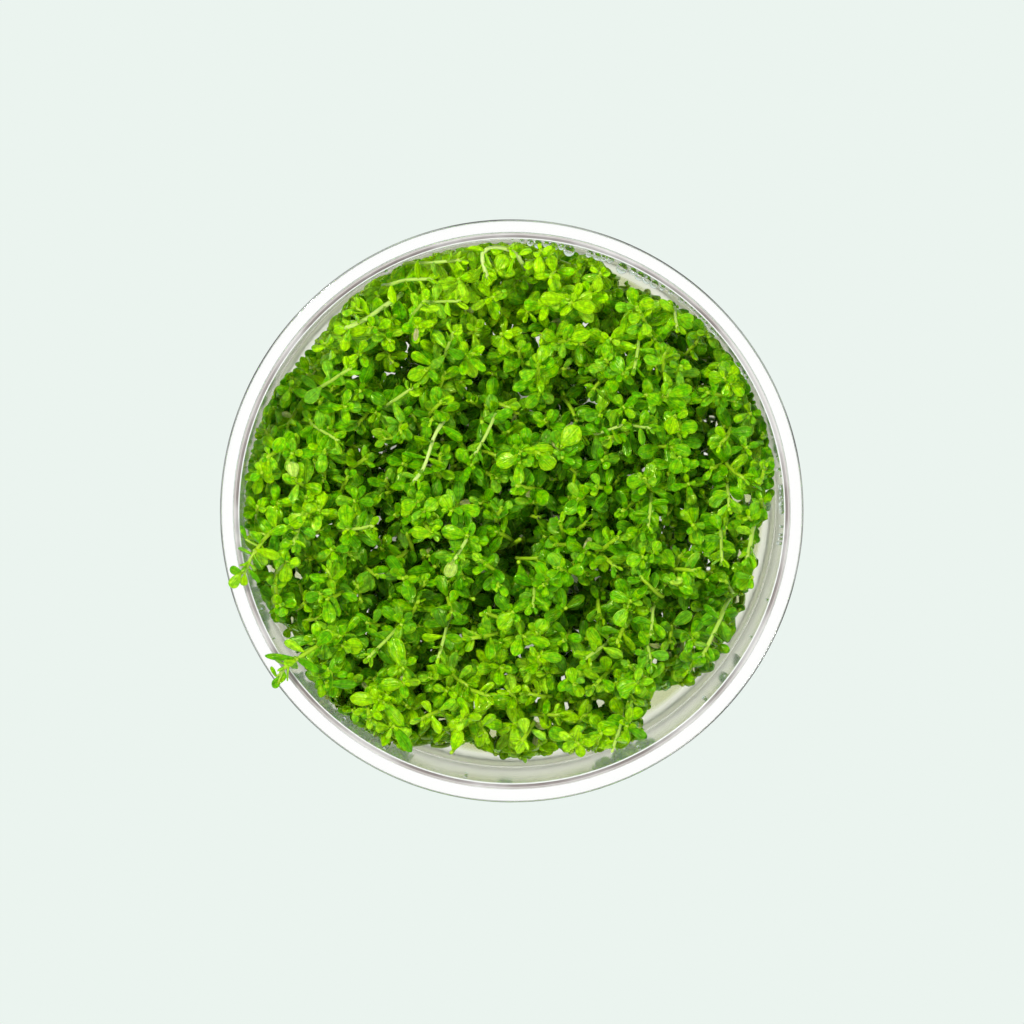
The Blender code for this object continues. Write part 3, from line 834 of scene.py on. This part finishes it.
class Room:
    """What is taken up already: cells of the cup's room, and columns of cells as they
    are seen from above. The roof is the height above which a column stays free."""

    def __init__(self):
        self.low = np.array((-GRID_HALF, -GRID_HALF, 0))
        size = np.array((2 * GRID_HALF, 2 * GRID_HALF, ROOM_HEIGHT))
        self.taken = np.zeros(np.ceil(size / CELL).astype(int), bool)
        steps = (np.arange(round(2 * GRID_HALF / FINE_CELL)) + 0.5) * FINE_CELL - GRID_HALF
        x, y = np.meshgrid(steps, steps, indexing="ij")
        self.middles = np.stack((x, y), -1)
        self.covered = np.zeros(x.shape, bool)
        self.inside = np.hypot(x, y) < foliage_reach(self.middles) - 0.2 * MM
        self.roof = np.full(x.shape, HIGHEST_LEAF)
        for across, up, radius, depth in HOLLOWS:
            distance = np.hypot(x / MM - across, y / MM - up)
            self.roof -= depth * MM * np.exp(-(distance / radius) ** 2)
        for across, up, radius in HOLES:
            self.roof[np.hypot(x / MM - across, y / MM - up) < radius] = 0

    def cells(self, points):
        return tuple(((points - self.low) / CELL).astype(int).T)

    def columns(self, points):
        return tuple(((seen(points) + GRID_HALF) / FINE_CELL).astype(int).T)

    def cost(self, points, overhangs, filling):
        """How badly a leaf with these points fits, where 0 is well."""
        crowding = self.taken[self.cells(points)].mean()
        columns = self.columns(points)
        above = 0 if overhangs else (points[:, 2] > self.roof[columns]).mean()
        bare = (~self.covered[columns] & (self.roof[columns] > 0)).mean()
        past = outside(points, overhangs) / MM
        return crowding + ABOVE_COST * above + OUTSIDE_COST * past - filling * bare

    def take(self, points):
        self.taken[self.cells(points)] = True

    def cover(self, points):
        self.covered[self.columns(points)] = True

    def shelter(self, points):
        """Keeps later leaves from covering these points."""
        np.minimum.at(self.roof, self.columns(points), points[:, 2] - 0.5 * MM)

    def bare_spots(self):
        """Places within the foliage that nothing covers, though something should."""
        bare = ~self.covered & (self.roof > 0) & self.inside
        wide = bare[:-1, :-1] & bare[1:, :-1] & bare[:-1, 1:] & bare[1:, 1:]
        return self.middles[:-1, :-1][wide]


def outside(points, overhangs):
    """How far the worst point is past the wall, or past the foliage's reach."""
    reach = norm(points[:, :2], axis=1)
    heights = points[:, 2]
    if overhangs:
        limit = np.where(heights < CUP_HEIGHT + 0.3 * MM, wall_radius(heights), OVERHANG_REACH)
        return max(0, (reach - limit).max() + 0.3 * MM, heights.max() - OVERHANG_TOP)
    limit = wall_radius(np.minimum(heights, CUP_HEIGHT))
    places = seen(points)
    past_foliage = norm(places, axis=1) - foliage_reach(places)
    return max(0, (reach - limit).max() + 0.25 * MM, past_foliage.max())


def random_leaf_form(length, draw):
    """The width, hollowness and outline of a leaf of some length."""
    return {
        "width": length * draw.uniform(0.38, 0.62),
        "cup": draw.uniform(-0.50, 0.15),
        "foot": draw.uniform(0.90, 1.40),
        "end": draw.uniform(0.46, 0.72),
    }


class Leaf:
    """A leaf's place, frame and form, before it becomes a mesh."""

    def __init__(self, sprig, base, direction, up, length, droop, form, tint):
        self.sprig = sprig
        self.base = base
        self.direction = direction
        self.up = square_to(up, direction)
        self.across = np.cross(self.up, direction)
        self.length = length
        self.droop = droop
        self.form = form
        self.tint = tint

    def pattern(self):
        """Leaves that are seen only through gaps have fewer faces."""
        deep = self.base[2] < PLAIN_LEAF_HEIGHT
        inner = norm(self.base[:2]) < PLAIN_LEAF_REACH
        return PLAIN_LEAF if deep and inner else FINE_LEAF

    def half_width(self, along):
        """Half the leaf's width at a share of its length."""
        foot = self.form["foot"]
        end = self.form["end"]
        widest = foot / (foot + end)
        peak = widest ** foot * (1 - widest) ** end
        shape = along ** foot * np.clip(1 - along, 0, 1) ** end / peak
        return shape * self.form["width"] / 2

    def samples(self, grid):
        """Points all over the leaf, to test what it touches."""
        along, across = grid
        fall = self.droop * along ** 2 * 0.5
        x = along * (1 - fall * self.droop * 0.3) * self.length
        y = across * self.half_width(along)
        z = -fall * self.length
        offsets = np.outer(x, self.direction) + np.outer(y, self.across) + np.outer(z, self.up)
        return self.base + offsets


def sample_grid(along_steps, across_steps, last, half):
    along = np.linspace(0.30, last, along_steps)
    return [axis.ravel() for axis in np.meshgrid(along, np.linspace(-half, half, across_steps))]


FEW_SAMPLES = sample_grid(5, 5, 0.96, 0.85)
MANY_SAMPLES = sample_grid(16, 11, 0.92, 0.76)


def leaf_tint(place, rank, draw):
    """Youth, light and paleness. Leaves are yellower near the tip of a shoot, at the back of the cup and at
    the middle of its front, and deeper green far down.
    The light is a random tone with painted shade that dims leaves far down, and painted light that
    brightens them at the back and the middle of the front and dims them at mid radius.
    A few far down are withered."""
    x, y = place[:2] / FOLIAGE_RADIUS
    spread = math.hypot(x, y)
    quarters = spread * math.cos(4 * math.atan2(y, x))
    near_front = max(0, -y - 0.35) * max(0, 1.3 - 1.2 * abs(x + 0.1))
    region = 0.10 * spread + 0.05 * quarters + 0.62 * max(0, y - 0.35) + 0.60 * near_front - 0.03 * x
    depth = max(0, 46 * MM - place[2]) / MM
    youth = 0.62 - 0.05 * rank + region - 0.007 * depth + draw.gauss(0, 0.13)
    # Painted shade dims leaves far down; painted light brightens the back and the middle of the front and
    # dims the middle radius.
    light = draw.uniform(0.86, 1.14) * max(0.75, 1 - 0.008 * depth)
    light *= 1.12 + 0.06 * quarters + 0.24 * max(0, y - 0.3) + 0.06 * near_front - 0.04 * x
    light *= 1 - 0.14 * math.exp(-((spread - 0.55) / 0.25) ** 2)
    pale = max(0, draw.gauss(0.0, 0.05))
    if depth > 4 and draw.random() < 0.02:
        pale = draw.uniform(1.2, 1.6)
    return (min(max(youth, 0.03), 1.0), light, pale)


def youth_tint(youth):
    """The tint of a listed leaf, from its youth in the tables."""
    if youth < 0:
        return (0.3, 1.0, 1.0 - youth)
    return (min(youth, 1.0), 1.0, max(0, youth - 1))


def placed_leaf(sprig, row, height, draw):
    """A leaf at a height, from its row in the tables of placed leaves."""
    across, down, length, width, heading, youth = row
    length = 1.12 * length * PIXEL
    pitch = math.radians(draw.uniform(-14, 8))
    direction = unit(compass(math.radians(heading)) + UP * math.tan(pitch))
    base = picture_place(across, down, height) - direction * length * 0.56
    up = UP + 0.35 * flat_stray(draw, 1)
    form = random_leaf_form(length, draw)
    form["width"] = width * PIXEL
    form["foot"] = 1.1
    form["cup"] = draw.uniform(-0.28, 0.05)
    return Leaf(sprig, base, direction, up, length, draw.uniform(0.1, 0.5), form, youth_tint(youth))


class Plants:
    """All the shoots and leaves, as they grow one after the other."""

    def __init__(self):
        self.room = Room()
        self.leaves = []
        self.loads = [0] * SPRIG_COUNT
        self.mains = [
            Shoot(index, bezier(main_curve(index)), index * GOLDEN_ANGLE)
            for index in range(SPRIG_COUNT)
        ]
        self.shoots = list(self.mains)

    def add_side_shoot(self, tip, draw, leans, shares=(0.10, 0.42), pairs=LEAF_PAIRS):
        """A shoot that curves up to a tip, where it leans by something between two
        numbers. It leaves a near main stem with few side shoots yet, between two shares
        of the stem's length."""
        lean = draw.uniform(*leans)
        costs = [
            norm((stem.point(0.5 * stem.length) - tip)[:2]) + load * 1.5 * MM
            for stem, load in zip(self.mains, self.loads)
        ]
        stem = self.mains[int(np.argmin(costs))]
        self.loads[stem.sprig] += 1
        distance = stem.length * draw.uniform(*shares)
        while stem.point(distance)[2] > tip[2] - 5 * MM and distance > 2 * MM:
            distance -= 2 * MM
        start = stem.point(distance)
        span = norm(tip - start)
        outward = unit((tip - start) * (1, 1, 0) + 1e-6)
        away = outward * 0.5 + compass(draw.uniform(0, 2 * math.pi))
        tip_direction = unit(UP + unit(away) * lean)
        growth = unit(stem.at(stem.directions, distance) + 0.5 * outward)
        low_handle = start + growth * span * 0.35
        high_handle = inside_wall(tip - tip_direction * span * 0.38, 2 * MM)
        line = bezier([start, low_handle, high_handle, tip])
        shoot = Shoot(stem.sprig, line, draw.uniform(0, math.pi), pairs=pairs)
        self.shoots.append(shoot)
        return shoot

    def add_leaf(self, leaf):
        self.leaves.append(leaf)
        self.room.take(leaf.samples(FEW_SAMPLES))
        self.room.cover(leaf.samples(MANY_SAMPLES))

    def add_placed_leaves(self):
        draw = random.Random(SEED + 6)
        for row in TOP_LEAVES:
            leaf = placed_leaf(0, row, draw.uniform(*TOP_LEAF_HEIGHTS) * MM, draw)
            leaf.base = inside_wall(leaf.base, 1 * MM)
            shoot = self.add_side_shoot(leaf.base + 0.2 * MM * UP, draw, (0.1, 0.8))
            leaf.sprig = shoot.sprig
            self.add_leaf(leaf)
            self.room.shelter(leaf.samples(MANY_SAMPLES))
        for sprig, rows in OVERHANGING_LEAVES.items():
            main = self.mains[sprig]
            for row in rows:
                leaf = placed_leaf(sprig, row, OVERHANG_HEIGHT, draw)
                late = main.points[len(main.points) // 2:]
                gaps = norm(seen(late) - seen(leaf.base), axis=1)
                on_stem = late[int(np.argmin(gaps))]
                leaf.base = leaf.base * (1, 1, 0) + UP * on_stem[2]
                self.leaves.append(leaf)
                self.shoots.append(self.leaf_stalk(sprig, on_stem, leaf))

    def leaf_stalk(self, sprig, start, leaf):
        """A short stalk from a stem to a leaf's foot."""
        line = bezier([start, start + UP * 0.2 * MM, leaf.base - leaf.direction * 0.4 * MM, leaf.base])
        return Shoot(sprig, line, 0, girth=0.55, pale=0.1, pairs=())

    def add_bare_stem(self, width, pale, spots, draw):
        """A stem that comes up beside its first spot and lies on top along the others."""
        heights = np.linspace(*BARE_STEM_HEIGHTS, len(spots)) * MM
        knots = [picture_place(*spot, height) for spot, height in zip(spots, heights)]
        below = knots[0] + (knots[0] - knots[1]) * (1, 1, 0) * 0.4 - UP * 6 * MM
        below = inside_wall(below, 1.5 * MM)
        gaps = [norm((stem.point(0.5 * stem.length) - below)[:2]) for stem in self.mains]
        stem = self.mains[int(np.argmin(gaps))]
        start = stem.point(0.40 * stem.length)
        rise = start + (below - start) * 0.55 - UP * 2 * MM
        line = smooth_line([start, rise, below] + knots)
        girth = width * PIXEL / (STEM_FOOT_RADIUS + STEM_TIP_RADIUS)
        shoot = Shoot(stem.sprig, line, draw.uniform(0, math.pi), girth, pale, LEAF_PAIRS[:6])
        self.shoots.append(shoot)
        lying = shoot.points[shoot.points[:, 2] > LYING_HEIGHT]
        for shift in (0, 0.35 * MM, -0.35 * MM):
            self.room.shelter(lying + (shift, 0, 0))

    def add_high_shoots(self):
        """Each takes the widest gap of some places that it tries, so that the tips
        spread evenly between those that are there already."""
        draw = random.Random(SEED)
        tips = [shoot.points[-1][:2] for shoot in self.shoots]
        while len(tips) < HIGH_SHOOT_COUNT:
            tries = []
            while len(tries) < TRIES_PER_TIP:
                radius = BED_RADIUS * 1.1 * math.sqrt(draw.random())
                place = radius * compass(draw.uniform(-math.pi, math.pi))[:2]
                if radius < foliage_reach(place) - TIP_MARGIN:
                    tries.append(place)
            gaps = norm(np.array(tips)[:, None] - np.array(tries), axis=2).min(0)
            place = tries[int(np.argmax(gaps))]
            tips.append(place)
            tip = np.array((*place, draw.uniform(*HIGH_TIPS)))
            roof = self.room.roof[self.room.columns(tip[None])][0]
            tip[2] = min(tip[2], max(roof - 2.6 * MM, 24 * MM))
            self.add_side_shoot(tip, draw, (0.1, 2.0))

    def add_edge_shoots(self):
        """Shoots that stand close to the wall, where the foliage fills the cup."""
        draw = random.Random(SEED + 9)
        for step in range(EDGE_SHOOT_COUNT):
            out = compass(2 * math.pi * (step + draw.uniform(-0.3, 0.3)) / EDGE_SHOOT_COUNT)
            if foliage_reach(out) < 45 * MM:
                continue
            tip = out * (foliage_reach(out) - draw.uniform(0.7, 1.6) * MM)
            tip = inside_wall(tip + UP * draw.uniform(33, 44 + 4 * max(0, out[1])) * MM, 0.8 * MM)
            self.add_side_shoot(tip, draw, (0.0, 0.6))

    def add_low_shoots(self):
        """Short shoots that fill the depths, where nothing covers the gel yet."""
        draw = random.Random(SEED + 8)
        for _ in range(LOW_SHOOT_COUNT):
            spots = self.room.bare_spots()
            if not len(spots):
                break
            spot = spots[draw.randrange(len(spots))]
            tip = inside_wall(place_under(spot, draw.uniform(*LOW_TIPS)), 1 * MM)
            shoot = self.add_side_shoot(tip, draw, (0.1, 1.0), (0.02, 0.15), LOW_LEAF_PAIRS)
            self.room.take(shoot.points)
            self.grow_leaves([shoot], 0.8, draw)

    def grow_leaves(self, shoots, filling, draw):
        """Both leaves of each pair, from the highest pair down."""
        nodes = []
        for shoot in shoots:
            for rank, distance in enumerate(shoot.nodes):
                height = shoot.point(distance)[2]
                if distance >= 1.5 * MM and height >= LOWEST_LEAF:
                    nodes.append((height - rank * 2 * MM, shoot, rank))
        nodes.sort(key=lambda node: -node[0])
        for _, shoot, rank in nodes:
            for half in (0, 1):
                leaf = best_leaf(shoot, rank, half, filling, self.room, draw)
                if leaf:
                    self.add_leaf(leaf)

    def grow(self):
        for main in self.mains:
            self.room.take(main.points)
        self.add_placed_leaves()
        draw = random.Random(SEED + 7)
        for width, pale, spots in BARE_STEMS:
            self.add_bare_stem(width, pale, spots, draw)
        self.add_high_shoots()
        self.add_edge_shoots()
        for shoot in self.shoots:
            self.room.take(shoot.points)
        self.grow_leaves(self.shoots, 0.0, random.Random(SEED + 2))
        self.add_low_shoots()


def best_leaf(shoot, rank, half, filling, room, draw):
    """The clearest of some tries at one leaf of a pair, or nothing if there is no room."""
    _, length, angle = shoot.pairs[rank]
    distance = shoot.nodes[rank]
    growth = unit(shoot.at(shoot.directions, distance))
    side = square_to(shoot.at(shoot.sides, distance), growth)
    across = np.cross(growth, side)
    place = shoot.point(distance)
    overhangs = shoot.sprig in OVERHANGING_SPRIGS and place[2] > CUP_HEIGHT - 6 * MM
    tint = leaf_tint(place, rank, draw)
    size = length * MM * draw.uniform(0.82, 1.15) * (0.6 if tint[2] > 1 else 1)
    form = random_leaf_form(size, draw)
    droop = draw.uniform(0.0, 0.75) * min(1, rank / 2)
    best = None
    for attempt in range(LEAF_TRIES):
        stray = draw.gauss(0, 0.16 + 0.06 * attempt)
        turn = shoot.turn + rank * math.pi / 2 + half * math.pi + stray
        outward = side * math.cos(turn) + across * math.sin(turn)
        lean = math.radians(angle + draw.gauss(0, 8 + 2 * attempt))
        direction = unit(growth * math.cos(lean) + outward * math.sin(lean) - 0.10 * UP)
        up = square_to(growth, direction) * 0.65 + UP * draw.uniform(0.0, 0.5) + outward * 0.02
        base = place + outward * shoot.radius(distance) * 0.6
        shrink = 1 - 0.04 * attempt
        leaf = Leaf(shoot.sprig, base, direction, up, size * shrink, droop, form, tint)
        cost = room.cost(leaf.samples(FEW_SAMPLES), overhangs, filling)
        if best is None or cost < best[0]:
            best = (cost, leaf)
        if cost < GOOD_COST - 0.6 * filling:
            break
    if best[0] > (WORST_COST if rank > 1 else WORST_TIP_COST):
        return None
    return best[1]


class LeafPattern:
    """The grid of a leaf's mesh: a closed lens with a top and an underside, whose
    rings stand at shares of its length."""

    def __init__(self, stations, top, below):
        self.stations = np.array(stations)
        self.across = np.array(top + below)
        self.side = np.array([1] * len(top) + [-1] * len(below))
        ring = len(self.across)
        self.faces = [tuple(range(ring))] + skin([ring] * len(stations) + [1])


FINE_LEAF = LeafPattern((0, 0.12, 0.28, 0.46, 0.64, 0.80, 0.91, 0.975), [-1, -0.55, 0, 0.55, 1], [0])
PLAIN_LEAF = LeafPattern((0, 0.22, 0.48, 0.74, 0.94), [-1, 0, 1], [0])


def leaf_verts(leaf, pattern, draw):
    """The points of a leaf's mesh, and their places on the leaf."""
    stations = pattern.stations
    ends = np.append(stations, 1.0)
    angles = leaf.droop * ends ** 1.4
    steps = np.diff(ends, prepend=0) * leaf.length
    middles = (angles + np.append(0, angles[:-1])) / 2
    x = np.cumsum(steps * np.cos(middles))
    z = -np.cumsum(steps * np.sin(middles))
    half = leaf.half_width(stations) + 0.20 * MM * (1 - stations) ** 2
    thick = (0.10 + 0.14 * (1 - stations)) * MM
    wave = draw.uniform(-0.12, 0.12)
    across = pattern.across
    lift = leaf.form["cup"] * across ** 2 - 0.10 * (1 - np.abs(across)) ** 2
    lift = np.outer(half, lift) + np.outer(half * stations, wave * across)
    lift += np.outer(thick, pattern.side * np.sqrt(1 - across ** 2))
    sines = np.sin(angles[:-1])[:, None]
    cosines = np.cos(angles[:-1])[:, None]
    grid = np.stack((x[:-1, None] + sines * lift, np.outer(half, across), z[:-1, None] + cosines * lift), 2)
    verts = np.vstack((grid.reshape(-1, 3), (x[-1], 0, z[-1])))
    along, over = np.meshgrid(stations, across, indexing="ij")
    side = np.broadcast_to(0.5 + 0.5 * pattern.side * (np.abs(across) < 1), along.shape)
    places = np.stack((along.ravel(), over.ravel(), side.ravel()), 1)
    places = np.vstack((places, (1, 0, 0.5)))
    axes = np.array((leaf.direction, leaf.across, leaf.up))
    return verts @ axes + leaf.base, places


def tube(points, directions, sides, radii, corners):
    """The points and faces of a closed tube that ends in a point. Its rings run the
    other way round than skin takes them, so its faces are turned over."""
    verts = []
    for point, direction, side, radius in zip(points, directions, sides, radii):
        for flat in circle(side, np.cross(direction, side), corners):
            verts.append(point + flat * radius)
    verts.append(points[-1] + directions[-1] * radii[-1])
    faces = [tuple(reversed(range(corners)))]
    for face in skin([corners] * len(points) + [1]):
        faces.append((face[0], *face[:0:-1]))
    return verts, faces


def stem_mesh(shoot):
    """The points and faces of a shoot's stem, thicker at its nodes, and its tints."""
    radii = []
    tints = []
    for distance in shoot.along:
        swelling = sum(math.exp(-((distance - node) / (0.6 * MM)) ** 2) for node in shoot.nodes)
        radii.append(shoot.radius(distance) * (1 + NODE_SWELLING * swelling))
        youth = (distance / shoot.length) ** 2
        tints.extend([(shoot.pale, youth, 0)] * STEM_SIDES)
    tints.append((shoot.pale, 1, 0))
    verts, faces = tube(shoot.points, shoot.directions, shoot.sides, radii, STEM_SIDES)
    return verts, faces, tints


def root_meshes(foot, draw):
    """Thin roots that spread and sink from a sprig's foot through the gel."""
    for _ in range(ROOTS_PER_SPRIG):
        flat = compass(draw.uniform(0, 2 * math.pi))
        length = draw.uniform(4, 8) * MM
        fall = foot[2] - draw.uniform(2.2, 5.0) * MM
        end = inside_wall(foot + flat * length - UP * fall, 2.4 * MM)
        bend = foot + flat * length * 0.3 - UP * fall * 0.8
        line = Shoot(0, bezier([foot, foot - UP * 1 * MM, bend, end]), 0)
        radii = np.linspace(0.16, 0.05, len(line.points)) * MM
        yield tube(line.points, line.directions, line.sides, radii, 4)


class Collector:
    """One piece's mesh in the making, with the attributes of its points."""

    def __init__(self):
        self.verts = []
        self.faces = []
        self.slots = []
        self.attributes = {"leaf_place": [], "leaf_tint": [], "stem_tint": []}

    def add(self, verts, faces, slot, **values):
        start = len(self.verts)
        blank = [(0, 0, 0)] * len(verts)
        self.verts.extend(verts)
        self.faces.extend(tuple(start + corner for corner in face) for face in faces)
        self.slots.extend([slot] * len(faces))
        for name, rows in self.attributes.items():
            rows.extend(values.get(name, blank))


def make_sprigs(plants):
    draw = random.Random(SEED + 3)
    materials = [leaf_paint(), stem_paint(), root_paint()]
    for index in range(SPRIG_COUNT):
        parts = Collector()
        for leaf in (leaf for leaf in plants.leaves if leaf.sprig == index):
            pattern = leaf.pattern()
            points, places = leaf_verts(leaf, pattern, draw)
            tints = [leaf.tint] * len(points)
            parts.add(points, pattern.faces, 0, leaf_place=places, leaf_tint=tints)
        for shoot in (shoot for shoot in plants.shoots if shoot.sprig == index):
            points, rings, shades = stem_mesh(shoot)
            parts.add(points, rings, 1, stem_tint=shades)
        for points, rings in root_meshes(foot_place(index), draw):
            parts.add(points, rings, 2)
        piece = mesh_object(f"shoots_{index + 1:02d}", parts.verts, parts.faces, materials)
        mesh = piece.data
        mesh.polygons.foreach_set("material_index", parts.slots)
        for name, rows in parts.attributes.items():
            attribute = mesh.attributes.new(name, "FLOAT_VECTOR", "POINT")
            attribute.data.foreach_set("vector", np.asarray(rows, np.float32).ravel())
        sharpen_margins(mesh, parts.attributes["leaf_place"])
        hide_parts(f"sprig_{index + 1:02d}")
        finish_piece(piece)


def sharpen_margins(mesh, places):
    """Keeps the shading of a leaf's top apart from that of its underside."""
    margin = np.abs(np.array(places)[:, 1]) == 1
    ends = np.zeros(len(mesh.edges) * 2, int)
    mesh.edges.foreach_get("vertices", ends)
    ends = ends.reshape(-1, 2)
    sharp = margin[ends].all(1)
    mesh.edges.foreach_set("use_edge_sharp", sharp)


# The stage.

FLOOR_COLOUR = (0.831, 0.905, 0.863, 1)
FLOOR_HALF = 4.0
FLOOR_LEVEL = -0.05 * MM
# The middle of the painted shade on the floor, and the edge of its painted white glow under the rim.
SHADE_MIDDLE = (0, -1.9 * MM, FLOOR_LEVEL)
WHITE_PATCH_EDGE = (50.85 * MM, 51.1 * MM)


def make_floor():
    """A pale floor that glows evenly. Under the cup it glows brighter and white, a painted light that shows
    through the clear plastic, with painted shade in its middle under the foliage."""
    paint = Paint("pale floor")
    inputs = {0: paint.place(), 1: SHADE_MIDDLE}
    distance = paint.node("ShaderNodeVectorMath", inputs, operation="DISTANCE").outputs["Value"]
    # Painted shade in the middle under the foliage, and a painted white glow under the rim.
    white = paint.ramp(
        paint.math("DIVIDE", distance, RIM_RADIUS),
        [(0.34, (0.10, 0.13, 0.06)), (0.60, (0.90, 0.90, 0.87)), (0.72, (1.0, 1.0, 0.99))],
    )
    past_cup = paint.spread(distance, *WHITE_PATCH_EDGE)
    paint.feed("Emission Color", paint.mix(past_cup, white, FLOOR_COLOUR))
    paint.feed("Emission Strength", paint.fade(past_cup, 1.06, 1.0))
    paint.set(Base_Color=(0.0, 0.0, 0.0, 1), Roughness=1.0, Specular_IOR_Level=0.0)
    signs = ((-1, -1), (1, -1), (1, 1), (-1, 1))
    corners = [(FLOOR_HALF * x, FLOOR_HALF * y, FLOOR_LEVEL) for x, y in signs]
    mesh_object("pale_floor", corners, [(0, 1, 2, 3)], [paint.material])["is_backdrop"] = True


def make_world():
    """The room around is as pale as the floor at the horizon and dimmer overhead."""
    world = bpy.data.worlds.new("pale room")
    world.use_nodes = True
    tree = world.node_tree
    place = tree.nodes.new("ShaderNodeTexCoord")
    split = tree.nodes.new("ShaderNodeSeparateXYZ")
    dim = tree.nodes.new("ShaderNodeMapRange")
    for socket, value in zip(dim.inputs[1:5], (0.04, 0.30, 1.0, 0.60)):
        socket.default_value = value
    background = tree.nodes["Background"]
    background.inputs["Color"].default_value = FLOOR_COLOUR
    tree.links.new(place.outputs["Generated"], split.inputs[0])
    tree.links.new(split.outputs["Z"], dim.inputs[0])
    tree.links.new(dim.outputs[0], background.inputs["Strength"])
    bpy.context.scene.world = world


def softbox(name, place, size, brightness):
    """A square area light that looks as bright as a surface of that brightness."""
    data = bpy.data.lights.new(name, "AREA")
    data.shape = "SQUARE"
    data.size = size
    data.energy = brightness * math.pi * size ** 2
    light = bpy.data.objects.new(name, data)
    light.location = place
    light.rotation_euler = Vector(place).to_track_quat("Z", "Y").to_euler()
    bpy.context.scene.collection.objects.link(light)


def make_lights():
    softbox("key softbox", (-0.65, 0.65, 1.3), 0.24, 98)
    softbox("fill softbox", (0.85, -0.55, 1.2), 0.22, 66)


def make_camera():
    """Looks down from 2 metres above the rim, 2.2 degrees off the vertical."""
    data = bpy.data.cameras.new("camera")
    data.sensor_width = SENSOR_WIDTH
    data.lens = SENSOR_WIDTH * CAMERA_DISTANCE / VIEW_WIDTH
    data.clip_start = 0.1
    data.clip_end = 20
    camera = bpy.data.objects.new("camera", data)
    off_axis = Vector((0, math.sin(CAMERA_TILT), math.cos(CAMERA_TILT)))
    camera.location = Vector(CAMERA_TARGET) + off_axis * CAMERA_DISTANCE
    camera.rotation_euler = (-CAMERA_TILT, 0, 0)
    bpy.context.scene.collection.objects.link(camera)
    bpy.context.scene.camera = camera


def main():
    bpy.context.scene.view_settings.view_transform = "Standard"
    make_camera()
    make_lights()
    make_floor()
    make_world()
    make_cup()
    make_gel()
    make_drops()
    plants = Plants()
    plants.grow()
    make_sprigs(plants)


main()

[[list(corner) for corner in box] for box in (cad_box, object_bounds())]
